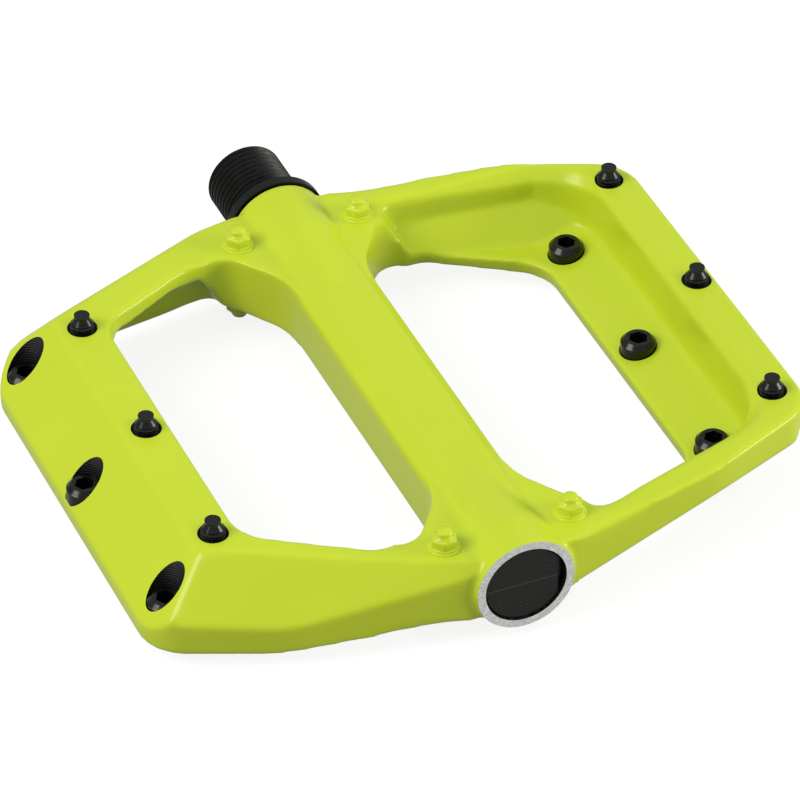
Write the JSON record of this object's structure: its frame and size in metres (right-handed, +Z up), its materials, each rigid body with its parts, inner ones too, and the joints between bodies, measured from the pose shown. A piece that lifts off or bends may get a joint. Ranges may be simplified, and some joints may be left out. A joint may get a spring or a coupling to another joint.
{
  "type": "flat bicycle pedal",
  "caption": "Flat platform pedal: cast alloy platform with two windows and grip pins, spinning on a threaded steel spindle.",
  "frame": {"origin": "on the spindle axis, at the collar face that seats on the crank arm", "axes": "+Y along the spindle towards the crank arm (threaded end), +Z up, +X across the platform"},
  "size_m": [0.122, 0.1244, 0.0212],
  "materials": {
    "lime_paint": "cast aluminium under a glossy lime-green powder coat; bare metal at the machined end face, the pin countersinks and the pin bores",
    "black_steel": "black satin chromoly steel",
    "pin_steel": "black oxide steel",
    "bright_steel": "ground bearing steel",
    "brass_cage": "plain",
    "bush_polymer": "matt self-lubricating polymer",
    "black_rubber": "matt",
    "black_plastic": "matt moulded"
  },
  "bodies": {
    "spindle_group": {"spindle": "black_steel", "bearing_inner_ring": "bright_steel", "bearing_washer": "bright_steel", "lock_nut": "black_steel"},
    "ball_set": {"bearing_cage": "brass_cage", "bearing_ball_1": "bright_steel", "bearing_ball_2": "bright_steel", "bearing_ball_3": "bright_steel", "bearing_ball_4": "bright_steel", "bearing_ball_5": "bright_steel", "bearing_ball_6": "bright_steel", "bearing_ball_7": "bright_steel"},
    "platform_group": {"platform_body": "lime_paint", "left_up_pin_1": "pin_steel", "left_up_pin_2": "pin_steel", "left_up_pin_3": "pin_steel", "left_down_pin_1": "pin_steel", "left_down_pin_2": "pin_steel", "left_down_pin_3": "pin_steel", "right_up_pin_1": "pin_steel", "right_up_pin_2": "pin_steel", "right_up_pin_3": "pin_steel", "right_down_pin_1": "pin_steel", "right_down_pin_2": "pin_steel", "right_down_pin_3": "pin_steel", "spindle_bush": "bush_polymer", "lip_seal": "black_rubber", "bearing_outer_ring": "bright_steel", "bearing_shield_out": "black_rubber", "bearing_shield_in": "black_rubber", "end_cap": "black_plastic", "cap_seal_ring": "black_rubber"}
  },
  "joints": [
    {"name": "platform_spin", "type": "hinge", "parent": "spindle_group", "child": "platform_group", "pos_m": [0, 0, 0], "axis": [0, 1, 0], "continuous": true},
    {"name": "ball_set_spin", "type": "hinge", "parent": "spindle_group", "child": "ball_set", "pos_m": [0, 0, 0], "axis": [0, 1, 0], "continuous": true}
  ],
  "couplings": [
    {"joint": "ball_set_spin", "follows": "platform_spin", "ratio": 0.6}
  ]
}
